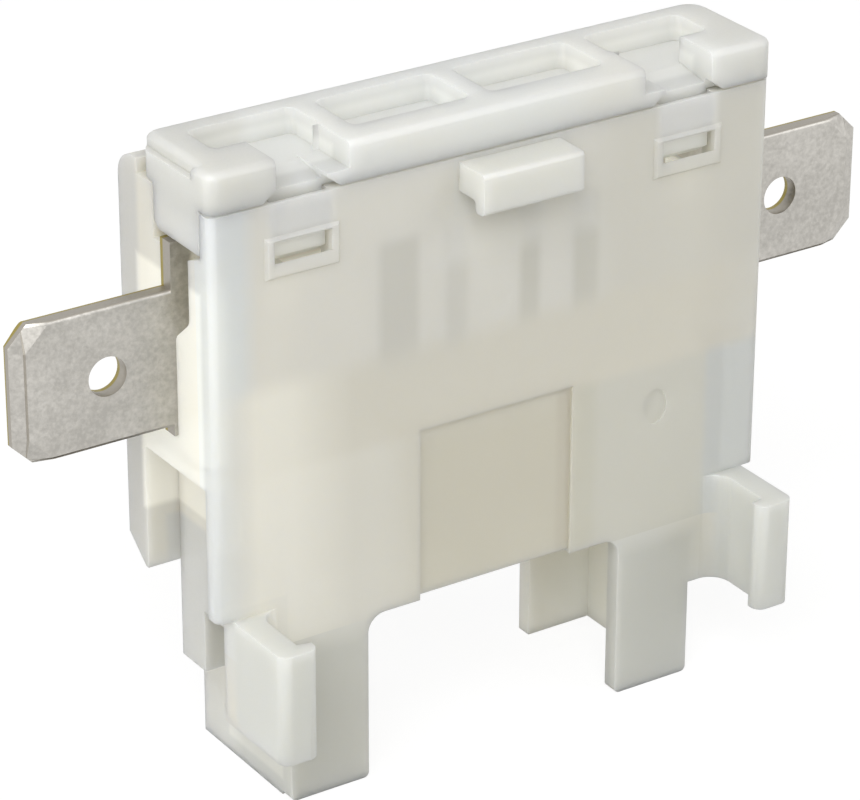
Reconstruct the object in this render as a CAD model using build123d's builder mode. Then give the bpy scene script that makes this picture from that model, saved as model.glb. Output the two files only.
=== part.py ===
"""Stackable blade fuse holder with a clip-on lid and one flat tab out of each end.

Millimetres, +Z up. The origin is the middle of the bounding box's underside: the feet
stand on Z = 0, the tabs leave along X and the stacking wings reach forward along -Y.
"""
import os

from build123d import *

os.makedirs("parts", exist_ok=True)

# Quick-connect tab, the standard 6.3 x 0.8 size that scales everything else.
tab_width = 6.3
tab_thickness = 0.8
tab_length = 7.65
tab_hole = 1.8
tab_hole_from_tip = 4.4
tab_chamfer = 0.9
tip_bevel_length = 0.6
tip_bevel_depth = 0.12
tab_edge_radius = 0.15

# Housing moulding.
body_length = 28.5
box_depth = 7.5
wing_reach = 4.0
tab_from_back = 4.1
wall = 0.8
back_wall = 1.6
end_wall = 1.05
tab_z = 21.3
box_bottom = 8.3
box_top = 28.65
edge_radius = 0.35

shelf_z = 16.0
floor_thickness = 0.8
lower_half = 12.65
back_low_half = 11.4
flange_low = 10.05
flange_rise = 0.65
flange_chamfer = 1.15
flange_edge = 0.2
flange_radius = 1.2
plate_low = 9.9

leg_in = 6.7
leg_out = 10.7
leg_back_in = 6.5
leg_fillet = 0.85
foot_radius = 0.25
post_low = 5.3
post_front = 0.55
post_back = 2.5

wing_in = 12.3
wing_out = 13.5
wing_low = 4.65
wing_tip_radius = 0.5
wing_root_radius = 1.0
bead_in = 11.65
bead_length = 0.85
bead_slope = 0.15

bay_half = 10.0
partition = 0.6
partition_drop = 3.35
divider = 1.0
blade_slot_in = 4.0
blade_slot_out = 11.75
blade_slot_half = 1.35

panel_half = 4.0
panel_top = 16.4
panel_depth = 0.15
panel_step = 0.2

hook_left = -2.1
hook_right = 3.0
hook_reach = 1.9
hook_lip = 0.65
hook_drop = 0.2
hook_height = 1.85
hook_web = 1.3
hook_round = 0.2

dimple_x = 8.55
dimple_z = 14.2
dimple_half_width = 0.6
dimple_half_height = 0.85
dimple_depth = 0.08

# Terminal slot in each end wall, measured from the tab's middle, and the lid's seat above it.
slot_clear = 0.05
funnel_start = 1.0
funnel_height = 1.0
funnel_front = 1.6
funnel_radius = 0.5
skirt_seat_rise = 0.4

# Catch windows, measured from the middle of the holder and down from the box's top.
window_in = 8.45
window_out = 11.25
window_drop = 1.65
window_height = 0.95
sill_fall = 0.65
frame_side = 0.42
frame_above = 0.2
frame_below = 0.75
frame_proud = 0.15
frame_draft = 40

# Cored grooves inside the front wall: left side, right side, height.
groove_depth = 0.3
groove_drop = 3.05
grooves = ((-6.0, -4.0, 5.9), (-2.7, -1.7, 5.9), (1.4, 2.2, 5.1), (3.9, 5.2, 5.1))

# Terminal stamping inside the housing.
head_in = 10.75
head_proud = 0.15
head_shoulder = 0.45
shank_width = 0.85
foot_low = 9.1
foot_drop = 0.4
clip_in = 4.4
clip_out = 9.0
clip_sheet = 0.6
clip_gap = 0.5
clip_low = 9.5
clip_spread = 0.8
clip_overlap = 0.4
clip_waist = 1.7
clip_drop = 0.6
clip_flare = 0.35

# Lid moulding.
lid_gap = 0.1
lid_thickness = 1.8
lid_proud = 0.12
lid_ledge_drop = 0.6
lid_ledge = 0.35
lid_ledge_front = 2.0
lid_back_radius = 1.0
lid_front_radius = 0.5
lid_edge = 0.3
lid_skin = 0.6
skirt_drop = 1.9
skirt_seat_gap = 0.55
skirt_front = 2.5
skirt_back = 1.15
skirt_thickness = 0.9
skirt_radius = 0.6
pocket_back = 1.3
pocket_front = 1.9
end_pocket_front = 1.0
rib_half = 0.5
pocket_out = 6.4
end_pocket_in = 7.4
end_pocket_out = 12.6
pocket_radius = 0.4
band_end = 7.5
nub_drop = 1.15
notch_in = 8.6
notch_out = 11.05
notch_corner_run = 0.65
notch_corner_rise = 0.5
arm_depth = 0.3
arm_thickness = 0.65
barb_reach = 0.2
barb_land = 0.75
barb_clear = 0.1
barb_front_gap = 0.05
lead_in = 0.55

# Everything below follows from the sizes above.
half_length = body_length / 2
back_y = (box_depth + wing_reach) / 2
front_y = back_y - box_depth
wing_y = front_y - wing_reach
tab_y = back_y - tab_from_back
inner_front = front_y + wall
inner_back = back_y - back_wall
inner_end = half_length - end_wall
floor_z = shelf_z + floor_thickness
tip_x = half_length + tab_length
flange_top = box_top + flange_rise
partition_top = box_top - partition_drop
hook_top = box_top - hook_drop
hook_low = hook_top - hook_height
window_top = box_top - window_drop
window_low = window_top - window_height
frame_in = window_in - frame_side
frame_out = window_out + frame_side
frame_low = window_low - frame_below
frame_top = window_top + frame_above
groove_top = box_top - groove_drop
skirt_low = box_top - skirt_drop
skirt_seat = skirt_low - skirt_seat_gap
head_out = half_length + head_proud
head_low = tab_z - tab_width / 2 - head_shoulder
head_high = skirt_low - head_proud
shank_out = head_in + shank_width
slot_low = head_low - slot_clear
funnel_low = tab_z + funnel_start
funnel_high = funnel_low + funnel_height
foot_high = shelf_z - foot_drop
clip_mouth = shelf_z - clip_drop
clip_bend = clip_mouth - clip_waist
lid_low = box_top + lid_gap
lid_top = lid_low + lid_thickness
lid_ledge_z = lid_top - lid_ledge_drop
nub_top = lid_top - nub_drop
barb_top = window_top - barb_clear
arm_low = barb_top - barb_land - lead_in
lid_back = inner_back - lid_gap
slot_half = tab_thickness / 2 + slot_clear
skirt_y_front = tab_y - skirt_front
skirt_y_back = tab_y + skirt_back
pocket_floor = lid_low + lid_skin
arm_y = inner_front - arm_depth
barb_y = arm_y - barb_reach
channel_depth = arm_depth + barb_reach + barb_front_gap

with BuildPart() as housing:
    # Front wall and both feet's front plates in one outline.
    with BuildSketch(Plane.XZ.offset(-inner_front)) as front_sheet:
        with BuildLine():
            Polyline(
                (0, box_bottom),
                (panel_half, box_bottom),
                (panel_half, box_bottom - panel_step),
                (leg_in, box_bottom - panel_step),
                (leg_in, 0),
                (leg_out, 0),
                (leg_out, wing_low),
                (wing_out, wing_low),
                (wing_out, plate_low),
                (half_length, plate_low),
                (half_length, box_top),
                (0, box_top),
            )
            mirror(about=Plane.YZ)
        make_face()
        inside_corners = front_sheet.vertices().filter_by(
            lambda v: abs(abs(v.X) - leg_in) < 0.01 and v.Y > 1
        )
        fillet(inside_corners, leg_fillet)
        feet_corners = front_sheet.vertices().filter_by(lambda v: v.Y < 0.01)
        fillet(feet_corners, foot_radius)
    extrude(amount=wall)
    # Box behind it, full length above the shelf and narrower below.
    with BuildSketch(Plane.XY.offset(shelf_z)):
        with Locations((0, (front_y + back_y) / 2)):
            Rectangle(body_length, box_depth)
    extrude(amount=box_top - shelf_z)
    with BuildSketch(Plane.XY.offset(box_bottom)):
        with Locations((0, (inner_front + inner_back) / 2)):
            Rectangle(2 * lower_half, inner_back - inner_front)
        with Locations((0, inner_back + back_wall / 2)):
            Rectangle(2 * back_low_half, back_wall)
    extrude(amount=shelf_z - box_bottom)
    # Back wall carried out as a flange below the shelf and up behind the lid.
    with BuildSketch(Plane.YZ):
        with BuildLine():
            Polyline(
                (inner_back, flange_low),
                (back_y - back_wall + flange_edge, flange_low),
                (back_y, flange_low + flange_chamfer),
                (back_y, flange_top),
                (inner_back, flange_top),
                close=True,
            )
        make_face()
    extrude(amount=half_length, both=True)
    flange_crest = housing.edges().filter_by(Axis.X).group_by(Axis.Z)[-1].sort_by(Axis.Y)[-1]
    fillet(flange_crest, flange_radius)
    # Front corners are rounded before the small features go on.
    upright = housing.edges().filter_by(Axis.Z)
    front_corners = upright.filter_by(
        lambda e: abs(abs(e.center().X) - half_length) < 0.01 and abs(e.center().Y - front_y) < 0.01
    )
    fillet(front_corners, edge_radius)
    # Main cavity above the floor, then the open space under it on both sides of the divider.
    with BuildSketch(Plane.XY.offset(floor_z)):
        with Locations((0, (inner_front + inner_back) / 2)):
            Rectangle(2 * inner_end, inner_back - inner_front)
    extrude(amount=flange_top, mode=Mode.SUBTRACT)
    with BuildSketch(Plane.XY.offset(box_bottom)):
        for side in (-1, 1):
            with Locations((side * (divider + 2 * (lower_half - wall)) / 4, (inner_front + inner_back) / 2)):
                Rectangle(lower_half - wall - divider / 2, inner_back - inner_front)
    extrude(amount=shelf_z - box_bottom, mode=Mode.SUBTRACT)
    # Long slots in the floor: the terminals drop in and the fuse blades reach through.
    with BuildSketch(Plane.XY.offset(shelf_z)):
        for side in (-1, 1):
            with Locations((side * (blade_slot_in + blade_slot_out) / 2, tab_y)):
                Rectangle(blade_slot_out - blade_slot_in, 2 * blade_slot_half)
    extrude(amount=floor_thickness, mode=Mode.SUBTRACT)
    # Partitions at both ends of the fuse bay hold the terminals upright.
    with BuildSketch(Plane.XY.offset(floor_z)):
        for side in (-1, 1):
            with Locations((side * (bay_half + partition / 2), (inner_front + inner_back) / 2)):
                Rectangle(partition, inner_back - inner_front)
    extrude(amount=partition_top - floor_z)
    # Terminal slot with its wider mouth in front, cut through end walls and partitions.
    with BuildSketch(Plane.YZ) as slot_sketch:
        with BuildLine():
            Polyline(
                (tab_y - slot_half, slot_low),
                (tab_y - slot_half, funnel_low),
                (tab_y - funnel_front, funnel_high),
                (tab_y - funnel_front, box_top),
                (tab_y + slot_half, box_top),
                (tab_y + slot_half, slot_low),
                close=True,
            )
        make_face()
        funnel_corners = slot_sketch.vertices().filter_by(lambda v: funnel_low - 0.1 < v.Y < funnel_high + 0.1)
        fillet(funnel_corners, funnel_radius)
    extrude(amount=half_length, both=True, mode=Mode.SUBTRACT)
    # Seats for the lid's skirts in the end walls.
    with BuildSketch(Plane.YZ):
        with BuildLine():
            Polyline(
                (tab_y - funnel_front, skirt_seat),
                (skirt_y_front - lid_gap, skirt_seat + skirt_seat_rise),
                (skirt_y_front - lid_gap, box_top),
                (skirt_y_back + lid_gap, box_top),
                (skirt_y_back + lid_gap, skirt_seat),
                close=True,
            )
        make_face()
    extrude(amount=half_length, both=True, mode=Mode.SUBTRACT)
    # Feet: an outer cross wall and a back plate make each one a channel.
    for side in (-1, 1):
        with BuildSketch(Plane.XY):
            with BuildLine():
                Polyline(
                    (side * leg_out, inner_front),
                    (side * leg_out, back_y),
                    (side * leg_back_in, back_y),
                    (side * leg_back_in, back_y - wall),
                    (side * (leg_out - wall), back_y - wall),
                    (side * (leg_out - wall), inner_front),
                    close=True,
                )
            make_face()
        extrude(amount=box_bottom)
        # Angle-shaped post beside the foot, carrying on the narrow box's end.
        with BuildSketch(Plane.XY.offset(post_low)):
            with BuildLine():
                Polyline(
                    (side * leg_out, tab_y + post_front),
                    (side * lower_half, tab_y + post_front),
                    (side * lower_half, tab_y + post_back),
                    (side * (lower_half - wall), tab_y + post_back),
                    (side * (lower_half - wall), tab_y + post_front + wall),
                    (side * leg_out, tab_y + post_front + wall),
                    close=True,
                )
            make_face()
        extrude(amount=box_bottom - post_low)
        # Stacking wing: a web with a rounded root and a bead inside its rounded tip.
        with BuildSketch(Plane.XY.offset(wing_low)) as wing_plan:
            with BuildLine():
                Polyline(
                    (side * leg_out, inner_front),
                    (side * leg_out, front_y),
                    (side * wing_in, front_y),
                    (side * wing_in, wing_y + bead_length),
                    (side * bead_in, wing_y + bead_length - bead_slope),
                    (side * bead_in, wing_y),
                    (side * wing_out, wing_y),
                    (side * wing_out, inner_front),
                    close=True,
                )
            make_face()
            fillet(wing_plan.vertices().group_by(Axis.Y)[0], wing_tip_radius)
            root = wing_plan.vertices().filter_by(
                lambda v: abs(abs(v.X) - wing_in) < 0.01 and abs(v.Y - front_y) < 0.01
            )
            fillet(root, wing_root_radius)
        extrude(amount=plate_low - wing_low)
    # Sunk middle panel on the front wall.
    with BuildSketch(Plane.XZ.offset(-front_y)):
        with Locations((0, (box_bottom + panel_top) / 2)):
            Rectangle(2 * panel_half, panel_top - box_bottom)
    extrude(amount=-panel_depth, mode=Mode.SUBTRACT)
    # Faint oval dimple to the right of the panel.
    with BuildSketch(Plane.XZ.offset(-front_y)):
        with Locations((dimple_x, dimple_z)):
            Ellipse(dimple_half_width, dimple_half_height)
    extrude(amount=-dimple_depth, mode=Mode.SUBTRACT)
    # Stacking hook near the top edge, its lip hanging clear of the wall.
    with BuildSketch(Plane.YZ.offset(hook_left)) as hook_profile:
        with BuildLine():
            Polyline(
                (inner_front, hook_top),
                (front_y - hook_reach, hook_top),
                (front_y - hook_reach, hook_low),
                (front_y - hook_reach + hook_lip, hook_low),
                (front_y - hook_reach + hook_lip, hook_top - hook_web),
                (inner_front, hook_top - hook_web),
                close=True,
            )
        make_face()
        lip_corners = hook_profile.vertices().filter_by(lambda v: v.X < front_y - 0.1)
        fillet(lip_corners, hook_round)
    extrude(amount=hook_right - hook_left)
    # Raised frames, then the catch windows through the wall, their sills falling away inwards.
    with BuildSketch(Plane.XZ.offset(-front_y)):
        for side in (-1, 1):
            with Locations((side * (frame_in + frame_out) / 2, (frame_low + frame_top) / 2)):
                Rectangle(frame_out - frame_in, frame_top - frame_low)
    extrude(amount=frame_proud, taper=frame_draft)
    for side in (-1, 1):
        with BuildSketch(Plane.YZ.offset(side * (window_in + window_out) / 2)):
            with BuildLine():
                Polyline(
                    (front_y - frame_proud, window_low),
                    (front_y - frame_proud, window_top),
                    (inner_front, window_top),
                    (inner_front, window_low - sill_fall),
                    close=True,
                )
            make_face()
        extrude(amount=(window_out - window_in) / 2, both=True, mode=Mode.SUBTRACT)
    # Channels above the windows, where the lid's arms and barbs ride.
    with BuildSketch(Plane.XZ.offset(-inner_front)):
        for side in (-1, 1):
            with Locations((side * (window_in + window_out) / 2, (window_top + box_top) / 2)):
                Rectangle(window_out - window_in, box_top - window_top)
    extrude(amount=channel_depth, mode=Mode.SUBTRACT)
    # Cored grooves on the inside of the front wall.
    with BuildSketch(Plane.XZ.offset(-inner_front)):
        for left, right, height in grooves:
            with Locations(((left + right) / 2, groove_top - height / 2)):
                Rectangle(right - left, height)
    extrude(amount=groove_depth, mode=Mode.SUBTRACT)

with BuildPart() as terminal_right:
    # Flat blank: tab, head in the end wall, shank and foot plate.
    with BuildSketch(Plane.XZ.offset(-tab_y - tab_thickness / 2)) as blank:
        with BuildLine():
            Polyline(
                (head_in, head_high),
                (head_out, head_high),
                (head_out, tab_z + tab_width / 2),
                (tip_x - tab_chamfer, tab_z + tab_width / 2),
                (tip_x, tab_z + tab_width / 2 - tab_chamfer),
                (tip_x, tab_z - tab_width / 2 + tab_chamfer),
                (tip_x - tab_chamfer, tab_z - tab_width / 2),
                (head_out, tab_z - tab_width / 2),
                (head_out, head_low),
                (shank_out, head_low),
                (shank_out, foot_low),
                (clip_out, foot_low),
                (clip_out, foot_high),
                (head_in, foot_high),
                close=True,
            )
        make_face()
        with Locations((tip_x - tab_hole_from_tip, tab_z)):
            Circle(tab_hole / 2, mode=Mode.SUBTRACT)
    extrude(amount=tab_thickness)
    # The tab's long edges are rolled over by blanking.
    tab_edges = terminal_right.edges().filter_by(Axis.X).filter_by(lambda e: e.center().X > head_out)
    fillet(tab_edges, tab_edge_radius)
    # Coined bevel on both faces of the tab's tip.
    with BuildSketch(Plane.XY.offset(tab_z - tab_width)):
        for face in (-1, 1):
            with BuildLine():
                Polyline(
                    (tip_x - tip_bevel_length, tab_y + face * tab_thickness / 2),
                    (tip_x, tab_y + face * (tab_thickness / 2 - tip_bevel_depth)),
                    (tip_x, tab_y + face * tab_thickness / 2),
                    close=True,
                )
            make_face()
    extrude(amount=2 * tab_width, mode=Mode.SUBTRACT)
    # Hairpin contact: two leaves rise from a bend, close at the waist and flare at the mouth.
    with BuildSketch(Plane.YZ.offset(clip_in)):
        with BuildLine():
            Polyline(
                (tab_y - clip_gap / 2 - clip_sheet / 2 - clip_flare, clip_mouth),
                (tab_y - clip_gap / 2 - clip_sheet / 2, clip_bend),
                (tab_y - clip_spread, clip_low + clip_spread),
                (tab_y - clip_spread, clip_low + clip_spread / 2),
                (tab_y - clip_spread / 2, clip_low),
                (tab_y + clip_spread / 2, clip_low),
                (tab_y + clip_spread, clip_low + clip_spread / 2),
                (tab_y + clip_spread, clip_low + clip_spread),
                (tab_y + clip_gap / 2 + clip_sheet / 2, clip_bend),
                (tab_y + clip_gap / 2 + clip_sheet / 2 + clip_flare, clip_mouth),
            )
        trace(line_width=clip_sheet)
    extrude(amount=clip_out - clip_in + clip_overlap)

with BuildPart() as terminal_left:
    mirror(terminal_right.part, about=Plane.YZ)

with BuildPart() as lid:
    # Cap with rounded corners and one narrow ledge along its left end.
    with BuildSketch(Plane.XY.offset(lid_low)) as cap_plan:
        with Locations((lid_proud / 2, (front_y + lid_back) / 2)):
            Rectangle(body_length + lid_proud, lid_back - front_y)
        fillet(cap_plan.vertices().group_by(Axis.Y)[-1], lid_back_radius)
        fillet(cap_plan.vertices().group_by(Axis.Y)[0], lid_front_radius)
    extrude(amount=lid_top - lid_low)
    with BuildSketch(Plane.XY.offset(lid_ledge_z)):
        with Locations((-half_length, (lid_back + tab_y - lid_ledge_front) / 2)):
            Rectangle(2 * lid_ledge, lid_back - tab_y + lid_ledge_front)
    extrude(amount=lid_top - lid_ledge_z, mode=Mode.SUBTRACT)
    crown_edges = lid.faces().sort_by(Axis.Z)[-1].edges()
    fillet(crown_edges, lid_edge)
    # Two middle pockets and two end pockets leave three cross ribs and the rims.
    with BuildSketch(Plane.XY.offset(pocket_floor)) as middle_pockets:
        for side in (-1, 1):
            with Locations((side * (rib_half + pocket_out) / 2, tab_y + (pocket_back - pocket_front) / 2)):
                RectangleRounded(pocket_out - rib_half, pocket_back + pocket_front, pocket_radius)
            with Locations(
                (side * (end_pocket_in + end_pocket_out) / 2, tab_y + (pocket_back - end_pocket_front) / 2)
            ):
                RectangleRounded(end_pocket_out - end_pocket_in, pocket_back + end_pocket_front, pocket_radius)
    extrude(amount=lid_top, mode=Mode.SUBTRACT)
    # Notches in front, where the lid slopes down into its snap arms.
    for side in (-1, 1):
        with BuildSketch(Plane.YZ.offset(side * (notch_in + notch_out) / 2)):
            with BuildLine():
                Polyline(
                    (tab_y - end_pocket_front + pocket_radius, pocket_floor),
                    (tab_y - end_pocket_front + pocket_radius, lid_top),
                    (front_y, lid_top),
                    (front_y, lid_low),
                    (arm_y, lid_low),
                    (arm_y, lid_low + lid_skin / 2),
                    (tab_y - end_pocket_front - lid_skin / 2, pocket_floor),
                    close=True,
                )
            make_face()
        extrude(amount=(notch_out - notch_in) / 2, both=True, mode=Mode.SUBTRACT)
    # Lower corners beside each notch are cut off at a slant.
    with BuildSketch(Plane.XZ.offset(-arm_y)):
        for side in (-1, 1):
            with BuildLine():
                Polyline(
                    (side * notch_in, lid_low + notch_corner_rise),
                    (side * (notch_in - notch_corner_run), lid_low),
                    (side * (notch_out + notch_corner_run), lid_low),
                    (side * notch_out, lid_low + notch_corner_rise),
                    close=True,
                )
            make_face()
    extrude(amount=arm_y - front_y, mode=Mode.SUBTRACT)
    # Low ends of the front band beside each notch.
    with BuildSketch(Plane.XY.offset(nub_top)):
        for side in (-1, 1):
            with Locations((side * (band_end + notch_in) / 2, (front_y + tab_y - end_pocket_front) / 2)):
                Rectangle(notch_in - band_end, tab_y - end_pocket_front - front_y)
    extrude(amount=lid_top, mode=Mode.SUBTRACT)
    # Snap arms inside the front wall, each ending in a barb.
    for side in (-1, 1):
        with BuildSketch(Plane.YZ.offset(side * (window_in + window_out) / 2)):
            with BuildLine():
                Polyline(
                    (arm_y + arm_thickness, lid_low + lid_skin / 2),
                    (arm_y, lid_low + lid_skin / 2),
                    (arm_y, barb_top),
                    (barb_y, barb_top),
                    (barb_y, barb_top - barb_land),
                    (arm_y + arm_thickness, arm_low),
                    close=True,
                )
            make_face()
        extrude(amount=(window_out - window_in) / 2 - lid_gap, both=True)
    # Skirts down both end faces, over the tops of the terminal slots.
    for side in (-1, 1):
        with BuildSketch(Plane.YZ.offset(side * (half_length - skirt_thickness / 2))) as skirt_profile:
            with Locations(((skirt_y_front + skirt_y_back) / 2, (skirt_low + lid_ledge_z - lid_skin) / 2)):
                Rectangle(skirt_y_back - skirt_y_front, lid_ledge_z - lid_skin - skirt_low)
            low_back = skirt_profile.vertices().group_by(Axis.Y)[0].sort_by(Axis.X)[-1]
            fillet(low_back, skirt_radius)
        extrude(amount=skirt_thickness / 2, both=True)

housing.part.label = "housing"
terminal_left.part.label = "terminal_left"
terminal_right.part.label = "terminal_right"
lid.part.label = "lid"

export_step(housing.part, "parts/housing.step")
export_step(terminal_left.part, "parts/terminal_left.step")
export_step(terminal_right.part, "parts/terminal_right.step")
export_step(lid.part, "parts/lid.step")
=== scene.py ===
"""The blade fuse holder in its materials, lit and seen as in the photograph."""
import math

import bmesh
import bpy
from mathutils import Matrix, Vector


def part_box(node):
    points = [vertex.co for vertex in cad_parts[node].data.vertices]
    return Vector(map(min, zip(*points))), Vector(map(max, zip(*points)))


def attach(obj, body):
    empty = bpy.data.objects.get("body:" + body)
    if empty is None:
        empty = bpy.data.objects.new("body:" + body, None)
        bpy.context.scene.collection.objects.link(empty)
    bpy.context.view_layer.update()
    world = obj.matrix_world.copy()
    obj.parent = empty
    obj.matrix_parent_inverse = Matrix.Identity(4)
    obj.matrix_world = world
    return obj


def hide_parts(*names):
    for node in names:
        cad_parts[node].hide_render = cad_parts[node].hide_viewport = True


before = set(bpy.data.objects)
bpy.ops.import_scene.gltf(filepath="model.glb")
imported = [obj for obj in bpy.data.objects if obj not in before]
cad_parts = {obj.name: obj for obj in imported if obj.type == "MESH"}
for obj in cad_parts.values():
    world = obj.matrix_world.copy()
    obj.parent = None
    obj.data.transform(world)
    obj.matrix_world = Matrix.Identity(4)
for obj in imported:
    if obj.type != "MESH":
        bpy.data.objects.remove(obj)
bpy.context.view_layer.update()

MM = 0.001

# Housing: one injection moulding in unfilled natural nylon, 0.8 mm walls, with the bay, flange,
# feet, wings and hook in one piece. The mould was spark eroded, so the skin is finely matte, and
# the resin is milky: light enters, scatters and glows out again at thin walls and corners.


def linear(hex_colour):
    """An sRGB hex colour as linear RGBA."""
    parts = [int(hex_colour[i:i + 2], 16) / 255 for i in (1, 3, 5)]
    return [c / 12.92 if c <= 0.04045 else ((c + 0.055) / 1.055) ** 2.4 for c in parts] + [1.0]


def node(tree, kind, settings=None, **links):
    """Adds one node; links are its inputs by name or by number, in0, in1, ..., as values or sockets."""
    made = tree.nodes.new(kind)
    for name, value in (settings or {}).items():
        setattr(made, name, value)
    for name, value in links.items():
        key = int(name[2:]) if name[:2] == "in" and name[2:].isdigit() else name.replace("_", " ")
        socket = made.inputs[key]
        if isinstance(value, bpy.types.NodeSocket):
            tree.links.new(value, socket)
        else:
            socket.default_value = value
    return made


# Points closer than this are one, and faces turned less than this are one flat.
same_point = 0.002 * MM
same_plane = math.radians(0.5)
sharp_edge = math.radians(28)


def softened(name, cad_node, body, radius, material, pressed=None):
    """The CAD node's own shape with its sharp edges rounded, as every moulded or blanked edge is.

    pressed, where it is given, works on the mesh before that."""
    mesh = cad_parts[cad_node].data.copy()
    shape = bmesh.new()
    shape.from_mesh(mesh)
    bmesh.ops.remove_doubles(shape, verts=shape.verts, dist=same_point)
    bmesh.ops.dissolve_limit(shape, angle_limit=same_plane, verts=shape.verts, edges=shape.edges)
    if pressed:
        pressed(shape)
    shape.to_mesh(mesh)
    shape.free()
    mesh.materials.clear()
    mesh.materials.append(material)
    piece = bpy.data.objects.new(name, mesh)
    bpy.context.collection.objects.link(piece)
    rounding = piece.modifiers.new("rounded_edges", "BEVEL")
    rounding.width = radius
    rounding.segments = 2
    rounding.limit_method = "ANGLE"
    rounding.angle_limit = sharp_edge
    rounding.use_clamp_overlap = True
    rounding.harden_normals = True
    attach(piece, body)
    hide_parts(cad_node)
    return piece


def inside_box(tree, place, low, high, soft):
    """1 inside a box given in millimetres and 0 outside, crossing over within soft."""
    centre = [(a + b) / 2 * MM for a, b in zip(low, high)]
    reach = [(b - a) / 2 * MM for a, b in zip(low, high)]
    offset = node(tree, "ShaderNodeVectorMath", {"operation": "SUBTRACT"}, in0=place, in1=centre)
    away = node(tree, "ShaderNodeVectorMath", {"operation": "ABSOLUTE"}, in0=offset.outputs[0])
    past = node(tree, "ShaderNodeVectorMath", {"operation": "SUBTRACT"}, in0=away.outputs[0], in1=reach)
    axes = node(tree, "ShaderNodeSeparateXYZ", in0=past.outputs[0])
    plan = node(tree, "ShaderNodeMath", {"operation": "MAXIMUM"}, in0=axes.outputs[0], in1=axes.outputs[1])
    outside = node(tree, "ShaderNodeMath", {"operation": "MAXIMUM"},
                   in0=plan.outputs[0], in1=axes.outputs[2])
    return node(tree, "ShaderNodeMapRange", {"interpolation_type": "SMOOTHSTEP"}, in0=outside.outputs[0],
                in1=-soft / 2 * MM, in2=soft / 2 * MM, in3=1.0, in4=0.0).outputs[0]


def zoned(tree, place, tone, painted_tone_zones):
    """A tone that gives way to another in each zone, to paint light and shade: low and high corner, how
    softly it ends, its tone.
    """
    for low, high, soft, colour in painted_tone_zones:
        share = inside_box(tree, place, low, high, soft)
        tone = node(tree, "ShaderNodeMix", {"data_type": "RGBA"},
                    in0=share, in6=tone, in7=linear(colour)).outputs[2]
    return tone


# The rows of painted light and shade cover the front wall alone, between these two planes and above the
# feet.
half_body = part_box("housing")[1][0]
rows_front = -2.1 * MM
rows_back = -0.5 * MM


def front_rows(tree, axes, tone, rows):
    """The front wall's painted light and shade in rows, one above another: where each starts, how softly,
    and its tones along X.
    """
    across = node(tree, "ShaderNodeMapRange",
                  in0=axes.outputs["X"], in1=-half_body, in2=half_body, in3=0, in4=1)
    wall_tone = None
    for start, soft, stops in rows:
        ramp = node(tree, "ShaderNodeValToRGB", Fac=across.outputs[0])
        for number, (x, colour) in enumerate(stops):
            at = (x * MM + half_body) / (2 * half_body)
            stop = ramp.color_ramp.elements[number] if number < 2 else ramp.color_ramp.elements.new(at)
            stop.position = at
            stop.color = linear(colour)
        row_tone = ramp.outputs["Color"]
        if wall_tone:
            above = node(tree, "ShaderNodeMapRange", {"interpolation_type": "SMOOTHSTEP"},
                         in0=axes.outputs["Z"], in1=(start - soft / 2) * MM, in2=(start + soft / 2) * MM,
                         in3=0, in4=1)
            row_tone = node(tree, "ShaderNodeMix", {"data_type": "RGBA"},
                            in0=above.outputs[0], in6=wall_tone, in7=row_tone).outputs[2]
        wall_tone = row_tone
    before_back = node(tree, "ShaderNodeMath", {"operation": "LESS_THAN"},
                       in0=axes.outputs["Y"], in1=rows_back)
    over_feet = node(tree, "ShaderNodeMath", {"operation": "GREATER_THAN"},
                     in0=axes.outputs["Z"], in1=rows[0][0] * MM)
    behind_face = node(tree, "ShaderNodeMath", {"operation": "GREATER_THAN"},
                       in0=axes.outputs["Y"], in1=rows_front)
    upper_front = node(tree, "ShaderNodeMath", {"operation": "MULTIPLY"},
                       in0=before_back.outputs[0], in1=over_feet.outputs[0])
    in_wall = node(tree, "ShaderNodeMath", {"operation": "MULTIPLY"},
                   in0=upper_front.outputs[0], in1=behind_face.outputs[0])
    return node(tree, "ShaderNodeMix", {"data_type": "RGBA"},
                in0=in_wall.outputs[0], in6=tone, in7=wall_tone).outputs[2]


nylon_pale = linear("#DFDDD5")
nylon_warm = linear("#DFDACA")
nylon_cool = linear("#D7DAD8")
pale_share = 0.55
nylon_depth = 1.6 * MM
nylon_ior = 1.53
nylon_clear = 0.25
nylon_roughness = (0.34, 0.5)
flow_length = 9.0 * MM
spark_grain = 0.09 * MM
spark_height = 0.02 * MM


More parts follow.
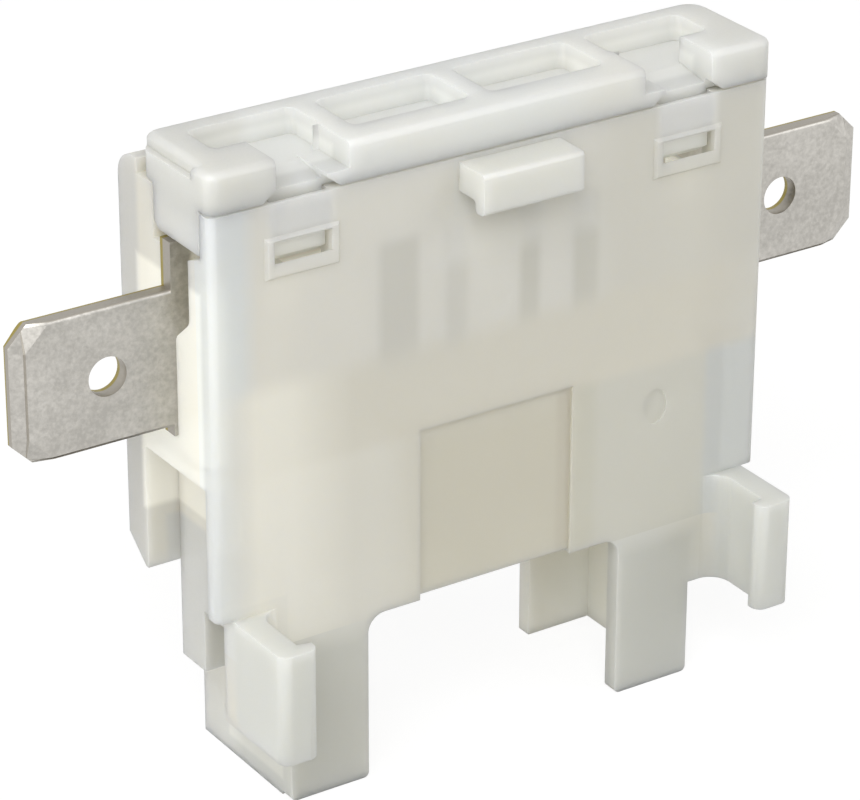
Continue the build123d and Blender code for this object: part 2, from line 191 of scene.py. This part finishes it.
def moulded_nylon(name, pale, warm, cool, depth, rows, painted_tone_zones, painted_end_pairs, seeping_painted_glow):
    """Natural nylon 66 off a spark eroded mould; depth is how far light spreads in it.

    rows are the front wall's painted light and shade, painted_tone_zones are where painted light and shade
    change the resin's tone, painted_end_pairs are such places at both ends, given for the right one, and
    seeping_painted_glow is painted glow for light that arrives through the walls."""
    material = bpy.data.materials.new(name)
    material.use_nodes = True
    tree = material.node_tree
    skin = tree.nodes["Principled BSDF"]
    place = node(tree, "ShaderNodeTexCoord").outputs["Object"]
    # Resin that cooled at different rates is a little warmer here and cooler there.
    flow = node(tree, "ShaderNodeTexNoise", {"noise_dimensions": "3D"}, Vector=place,
                Scale=1 / flow_length, Detail=1.0, Roughness=0.45)
    drift = node(tree, "ShaderNodeMapRange", {"interpolation_type": "SMOOTHSTEP"}, in0=flow.outputs["Fac"],
                 in1=0.35, in2=0.65, in3=0.0, in4=1.0)
    tone = node(tree, "ShaderNodeMix", {"data_type": "RGBA"}, in0=drift.outputs[0], in6=warm, in7=cool)
    blend = node(tree, "ShaderNodeMix", {"data_type": "RGBA"},
                 in0=pale_share, in6=tone.outputs[2], in7=pale)
    axes = node(tree, "ShaderNodeSeparateXYZ", in0=place)
    outward = node(tree, "ShaderNodeMath", {"operation": "ABSOLUTE"}, in0=axes.outputs["X"])
    either_end = node(tree, "ShaderNodeCombineXYZ",
                      X=outward.outputs[0], Y=axes.outputs["Y"], Z=axes.outputs["Z"])
    # Painted light and shade on the front wall and in the zones, over the resin's own tone.
    toned = front_rows(tree, axes, blend.outputs[2], rows) if rows else blend.outputs[2]
    toned = zoned(tree, either_end.outputs[0], zoned(tree, place, toned, painted_tone_zones), painted_end_pairs)
    tree.links.new(toned, skin.inputs["Base Color"])
    # Spark erosion leaves tiny craters all over the mould, drawn coarse enough to show.
    grain = node(tree, "ShaderNodeTexNoise", {"noise_dimensions": "3D"}, Vector=place,
                 Scale=1 / spark_grain, Detail=1.0, Roughness=0.6)
    rough = node(tree, "ShaderNodeMapRange", in0=grain.outputs["Fac"], in1=0.3, in2=0.7,
                 in3=nylon_roughness[0], in4=nylon_roughness[1])
    tree.links.new(rough.outputs[0], skin.inputs["Roughness"])
    bump = node(tree, "ShaderNodeBump", Strength=0.12, Distance=spark_height, Height=grain.outputs["Fac"])
    tree.links.new(bump.outputs[0], skin.inputs["Normal"])
    # Painted glow: emission standing in for light that seeps through the walls and on from wall to wall
    # inside, which a few bounces lose.
    tree.links.new(zoned(tree, place, (0, 0, 0, 1), seeping_painted_glow), skin.inputs["Emission Color"])
    skin.inputs["Emission Strength"].default_value = 1.0
    material.cycles.emission_sampling = "NONE"
    skin.inputs["IOR"].default_value = nylon_ior
    skin.inputs["Transmission Weight"].default_value = nylon_clear
    skin.inputs["Subsurface Weight"].default_value = 1.0
    # Red light goes a little further through the resin than blue.
    skin.inputs["Subsurface Radius"].default_value = (1.0, 0.96, 0.86)
    skin.inputs["Subsurface Scale"].default_value = depth
    return material


# Painted light and shade on the front wall: paler where the resin glows with plastic behind it and with
# light from the left end, greyer where it is thin, has a dark cavity behind it, or lies towards the dimmer
# right. Places and softness are in millimetres.
left_arris_shade = "#DBDEDD"
backed_glow = "#DFDDD5"
right_half_shade = "#D8D6CD"
painted_wall_rows = [
    # From the feet up: the painted glow at the left, the panel, the painted dark strip beside it, the
    # painted greyer right.
    (8.0, 0.0, [(-14.2, left_arris_shade), (-13.2, "#DFDFDA"), (-12.2, "#F0EDE2"), (-10.4, "#F0EDE2"),
                (-7.4, "#DEDCD3"), (-4.1, "#DEDCD3"), (-3.9, "#D6D3C7"), (3.1, "#D6D3C7"),
                (3.4, "#C8C3B6"), (3.9, "#C8C3B6"), (4.1, "#D0CFC4"), (5.0, "#D0CFC4"),
                (5.5, "#D4D3CA"), (11.1, "#D4D3CA"), (11.5, "#D1D3D0"), (14.0, "#D1D3D0")]),
    # Above the panel, where the wall is even.
    (16.3, 0.8, [(-14.2, left_arris_shade), (-13.2, "#DFDFDA"), (-12.2, "#EFECE1"), (-10.4, "#EDEADF"),
                 (-7.4, "#DAD7CC"), (11.8, "#DAD7CC"), (13.4, "#DCDAD1")]),
    # Painted shade over the four cored grooves.
    (20.4, 1.4, [(-14.2, left_arris_shade), (-12.8, left_arris_shade), (-12.0, backed_glow), (-6.3, backed_glow),
                 (-5.8, "#D4D2C9"), (-4.3, "#D4D2C9"), (-3.9, backed_glow), (-2.9, backed_glow),
                 (-2.5, "#D8D6CD"), (-1.8, "#D8D6CD"), (-1.4, backed_glow), (0.9, backed_glow),
                 (1.3, "#D2D0C6"), (1.9, "#D2D0C6"), (2.3, backed_glow), (3.7, backed_glow),
                 (4.1, "#D3D1C7"), (5.0, "#D3D1C7"), (5.4, "#DCDAD1"), (6.6, right_half_shade),
                 (14.0, right_half_shade)]),
    # Over the grooves, up to the lid.
    (25.6, 0.8, [(-14.2, left_arris_shade), (-12.8, left_arris_shade), (-12.0, backed_glow), (4.6, backed_glow),
                 (6.6, right_half_shade), (14.0, right_half_shade)]),
]
# Painted light and shade: the wall over the arch darker, the wall under the hook lighter against the hook's
# cast shadow, the hook paler and cooler, and the flange's left end darker.
painted_tone_zones = [
    ((-4.0, -2.2, 5.0), (3.6, -0.5, 15.6), 5.0, "#D0CCBD"),
    ((-2.8, -2.2, 23.9), (5.2, -0.5, 26.4), 1.4, "#E4E2D9"),
    ((-2.3, -4.2, 26.0), (3.2, -1.75, 29.0), 0.3, "#E0E0DA"),
    ((-14.6, 4.2, 8.0), (-12.6, 6.0, 30.0), 0.6, "#CBCAC5"),
]
# Painted light and shade at both ends: lighter over each window, where the thinned wall would look dark,
# and greyer on the feet, the wings, and the narrow box at each end.
painted_end_pairs = [
    ((8.3, -2.2, 27.2), (11.4, -0.5, 28.9), 0.6, "#F2F0E8"),
    ((6.6, -2.2, -1.0), (11.0, 2.6, 7.4), 2.4, "#C6C7C1"),
    ((11.0, -6.4, 4.0), (15.4, -1.9, 10.2), 0.6, "#D7D8D3"),
    ((11.5, -0.9, 1.0), (13.3, 6.0, 12.4), 0.4, "#CFCFCB"),
]
# Painted glow, standing in for light that comes through the walls: the bay, three small places seen through
# the windows' slits, the left end wall's slot, and the back of the right foot.
bay_painted_glow = [
    ((-11.6, -1.0, 0.8), (11.6, 3.6, 28.6), 0.3, "#504F49"),
    ((-11.2, -0.9, 23.6), (-10.4, 1.2, 26.6), 0.3, "#9C998D"),
    ((9.6, -0.9, 23.6), (10.4, 1.2, 26.6), 0.3, "#9C998D"),
    ((-7.6, 0.6, 21.7), (-4.4, 4.3, 23.1), 0.6, "#9C998D"),
    ((-14.5, -0.9, 13.0), (-12.6, 4.4, 25.0), 0.4, "#7A7972"),
    ((5.0, 2.6, -1.0), (12.0, 6.0, 7.6), 0.4, "#504F49"),
]
moulded_edge = 0.12 * MM
housing_nylon = moulded_nylon("nylon_66_natural_spark_eroded_housing", nylon_pale, nylon_warm, nylon_cool,
                              nylon_depth, painted_wall_rows, painted_tone_zones, painted_end_pairs, bay_painted_glow)
softened("housing_moulding", "housing", "base", moulded_edge, housing_nylon)

# Terminals: two mirrored stampings in half-hard brass strip, 0.8 mm thick, tin plated before they
# were blanked. The faces are dull grey and mottled, and the blanked edges are tin drawn over by the
# punch, with a thin line of torn brass at the back. Each is pressed into its slot in the end wall.
tin_light = linear("#C6C3BD")
tin_dark = linear("#ACA9A3")
tin_drawn = linear("#A39E95")
brass_torn = linear("#9C8F52")
tin_roughness = (0.36, 0.52)
tin_mottle = 0.22 * MM
tin_cloud = 2.4 * MM
mottle_share = 0.6
tin_grain_height = 0.03 * MM
tear_start = 1.8 * MM
tear_full = 1.88 * MM

tin_plate = bpy.data.materials.new("brass_strip_matte_tin_plated_blanked_edges")
tin_plate.use_nodes = True
tree = tin_plate.node_tree
skin = tree.nodes["Principled BSDF"]
coords = node(tree, "ShaderNodeTexCoord")
place = coords.outputs["Object"]
mottle = node(tree, "ShaderNodeTexNoise", Vector=place, Scale=1 / tin_mottle, Detail=5.0, Roughness=0.65)
cloud = node(tree, "ShaderNodeTexNoise", Vector=place, Scale=1 / tin_cloud, Detail=3.0, Roughness=0.55)
clouds = node(tree, "ShaderNodeMath", {"operation": "MULTIPLY"},
              in0=cloud.outputs["Fac"], in1=1 - mottle_share)
spots = node(tree, "ShaderNodeMath", {"operation": "MULTIPLY_ADD"},
             in0=mottle.outputs["Fac"], in1=mottle_share, in2=clouds.outputs[0])
shade = node(tree, "ShaderNodeMapRange", in0=spots.outputs[0], in1=0.38, in2=0.62, in3=0.0, in4=1.0)
tin = node(tree, "ShaderNodeMix", {"data_type": "RGBA"}, in0=shade.outputs[0], in6=tin_dark, in7=tin_light)
# Blanked edges: the surfaces that turn more than about 45 degrees away from Y.
least_facing = 0.7
facing = node(tree, "ShaderNodeSeparateXYZ", in0=coords.outputs["Normal"])
flat = node(tree, "ShaderNodeMath", {"operation": "ABSOLUTE"}, in0=facing.outputs["Y"])
edge = node(tree, "ShaderNodeMath", {"operation": "LESS_THAN"}, in0=flat.outputs[0], in1=least_facing)
position = node(tree, "ShaderNodeSeparateXYZ", in0=place)
tear = node(tree, "ShaderNodeMapRange", {"interpolation_type": "SMOOTHSTEP"}, in0=position.outputs["Y"],
            in1=tear_start, in2=tear_full, in3=0.0, in4=1.0)
brass = node(tree, "ShaderNodeMix", {"data_type": "RGBA"},
             in0=tear.outputs[0], in6=tin_drawn, in7=brass_torn)
metal = node(tree, "ShaderNodeMix", {"data_type": "RGBA"}, in0=edge.outputs[0], in6=tin.outputs[2],
             in7=brass.outputs[2])
tree.links.new(metal.outputs[2], skin.inputs["Base Color"])
gloss = node(tree, "ShaderNodeMapRange", in0=mottle.outputs["Fac"], in1=0.3, in2=0.7,
             in3=tin_roughness[0], in4=tin_roughness[1])
tree.links.new(gloss.outputs[0], skin.inputs["Roughness"])
dent = node(tree, "ShaderNodeBump", Strength=0.25, Distance=tin_grain_height, Height=mottle.outputs["Fac"])
tree.links.new(dent.outputs[0], skin.inputs["Normal"])
skin.inputs["Metallic"].default_value = 1.0
# Painted glow on the housed half, standing in for light that comes through the walls.
housed_painted_glow = [((-13.4, -1.0, 8.0), (13.4, 4.2, 29.0), 0.3, "#7E7B71")]
tree.links.new(zoned(tree, place, (0, 0, 0, 1), housed_painted_glow), skin.inputs["Emission Color"])
tin_plate.cycles.emission_sampling = "NONE"
skin.inputs["Emission Strength"].default_value = 1.0

coin_run = 0.65 * MM
coin_depth = 0.2 * MM
tip_band = 0.01 * MM
cut_tolerance = 0.001 * MM


def coined_tip(shape):
    """Presses the front of the tab's tip back, in a shallow slope along its end and both its corners."""
    tip = max(abs(vertex.co.x) for vertex in shape.verts)
    end_face = [vertex.co for vertex in shape.verts if abs(vertex.co.x) > tip - tip_band]
    front = min(point.y for point in end_face)
    heights = [point.z for point in end_face]
    side = 1 if max(vertex.co.x for vertex in shape.verts) == tip else -1
    slopes = [(Vector((side * (tip - coin_run), 0, 0)), Vector((side, 0, 0)))]
    for turn, height in ((-1, min(heights)), (1, max(heights))):
        away = Vector((side, 0, turn)).normalized()
        slopes.append((Vector((side * tip, 0, height)) - away * coin_run, away))
    for start, away in slopes:
        bmesh.ops.bisect_plane(shape, geom=shape.verts[:] + shape.edges[:] + shape.faces[:],
                               dist=cut_tolerance, plane_co=start, plane_no=away)
    for vertex in shape.verts:
        past = max((vertex.co - start).dot(away) for start, away in slopes)
        if past > 0:
            vertex.co.y = max(vertex.co.y, front + coin_depth * min(past / coin_run, 1))


blanked_edge = 0.06 * MM
for name in ("terminal_left", "terminal_right"):
    softened(name + "_stamping", name, "base", blanked_edge, tin_plate, coined_tip)

# Lid: a second moulding in the same nylon, cored from above so that its walls stay even. Its arms spring
# inwards and its barbs catch in the windows. Its tones are painted a shade whiter than the housing's, as
# painted light, since nothing dark lies close under it.
lid_pale = linear("#E0E0DB")
lid_warm = linear("#DCDAD1")
lid_cool = linear("#D9DCDB")
lid_depth = 1.5 * nylon_depth
# Painted shade: the left end is a shade greyer. Painted glow: the arms and the pockets, standing in for
# light through the walls.
lid_painted_shade = [((-15.0, -2.2, 28.0), (-9.8, 6.2, 31.5), 1.0, "#D4D4CF")]
lid_painted_glow = [
    ((-13.2, -1.6, 20.0), (13.2, 3.6, 28.2), 0.3, "#616059"),
    ((-13.0, -0.4, 28.2), (13.0, 3.2, 30.0), 0.4, "#585856"),
]
lid_nylon = moulded_nylon("nylon_66_natural_spark_eroded_lid", lid_pale, lid_warm, lid_cool,
                          lid_depth, [], lid_painted_shade, [], lid_painted_glow)
softened("lid_moulding", "lid", "lid", moulded_edge, lid_nylon)

# Studio: a white sweep that reads as pure white and still takes the holder's soft shadow, a key
# soft box high at the front left, a weaker one at the front right and one at the left end.


def seen_directly(tree):
    """1 for what the camera sees, straight on or in gloss or through clear parts, and 0 for other light."""
    ray = node(tree, "ShaderNodeLightPath")
    mirrored = node(tree, "ShaderNodeMath", {"operation": "MAXIMUM"},
                    in0=ray.outputs["Is Glossy Ray"], in1=ray.outputs["Is Transmission Ray"])
    return node(tree, "ShaderNodeMath", {"operation": "MAXIMUM"},
                in0=ray.outputs["Is Camera Ray"], in1=mirrored.outputs[0]).outputs[0]


sweep_half = 0.6
sweep_gap = 0.02 * MM
sweep_mesh = bpy.data.meshes.new("sweep")
sheet = bmesh.new()
bmesh.ops.create_grid(sheet, x_segments=1, y_segments=1, size=sweep_half)
sheet.to_mesh(sweep_mesh)
sheet.free()
sweep = bpy.data.objects.new("sweep", sweep_mesh)
bpy.context.collection.objects.link(sweep)
sweep.location.z = -sweep_gap
paper = bpy.data.materials.new("white_paper_sweep")
paper.use_nodes = True
tree = paper.node_tree
skin = tree.nodes["Principled BSDF"]
skin.inputs["Base Color"].default_value = linear("#B8B8B6")
skin.inputs["Roughness"].default_value = 0.9
# Part glow and part lit paper, so that the two together reach white and the shadow stays.
glow_share = 0.7
glow_strength = 1.25
share = node(tree, "ShaderNodeMath", {"operation": "MULTIPLY"}, in0=seen_directly(tree), in1=glow_share)
glow = node(tree, "ShaderNodeEmission", Color=(1, 1, 1, 1), Strength=glow_strength)
mixed = node(tree, "ShaderNodeMixShader", in0=share.outputs[0], in1=skin.outputs[0], in2=glow.outputs[0])
tree.links.new(mixed.outputs[0], tree.nodes["Material Output"].inputs["Surface"])
sweep_mesh.materials.append(paper)

world = bpy.data.worlds.new("studio")
bpy.context.scene.world = world
world.use_nodes = True
tree = world.node_tree
room_light = 0.4
seen_white = 1.0
level = node(tree, "ShaderNodeMapRange",
             in0=seen_directly(tree), in1=0.0, in2=1.0, in3=room_light, in4=seen_white)
tree.links.new(level.outputs[0], tree.nodes["Background"].inputs["Strength"])
tree.nodes["Background"].inputs["Color"].default_value = (1, 1, 1, 1)

# Each lamp's name, place, size in metres and watts, turned to the middle of the holder.
middle = Vector((0, 0, 15 * MM))
lamps = [
    ("key", (-0.18, -0.2, 0.26), 0.24, 1.1),
    ("fill", (0.2, -0.24, 0.16), 0.2, 0.28),
    ("side", (-0.3, 0.02, 0.12), 0.2, 0.45),
]
for name, spot, size, watts in lamps:
    lamp = bpy.data.lights.new(name, "AREA")
    lamp.size = size
    lamp.energy = watts
    stand = bpy.data.objects.new(name, lamp)
    stand.location = spot
    stand.rotation_mode = "QUATERNION"
    stand.rotation_quaternion = (middle - Vector(spot)).to_track_quat("-Z", "Y")
    bpy.context.collection.objects.link(stand)

# Camera: the photograph's own viewpoint, 180 mm away, to the left of the front and above.
distance_mm = 179.6
azimuth = math.radians(-33.30)
elevation = math.radians(26.31)
roll = math.radians(0.15)
aim = Vector((-1.50, 1.65, 14.87)) * MM
back = Vector((math.sin(azimuth) * math.cos(elevation), -math.cos(azimuth) * math.cos(elevation),
               math.sin(elevation)))
right = Vector((math.cos(azimuth), math.sin(azimuth), 0))
up = back.cross(right)
right_rolled = right * math.cos(roll) + up * math.sin(roll)
up_rolled = up * math.cos(roll) - right * math.sin(roll)
lens = bpy.data.cameras.new("camera")
lens.lens = 170.7
lens.sensor_width = 36.0
lens.shift_x = 0.0049
lens.shift_y = 0.0223
lens.clip_start = 0.01
camera = bpy.data.objects.new("camera", lens)
turned = Matrix((right_rolled, up_rolled, back)).transposed().to_4x4()
camera.matrix_world = Matrix.Translation(aim + back * distance_mm * MM) @ turned
bpy.context.collection.objects.link(camera)
bpy.context.scene.camera = camera
bpy.context.scene.view_settings.view_transform = "Standard"
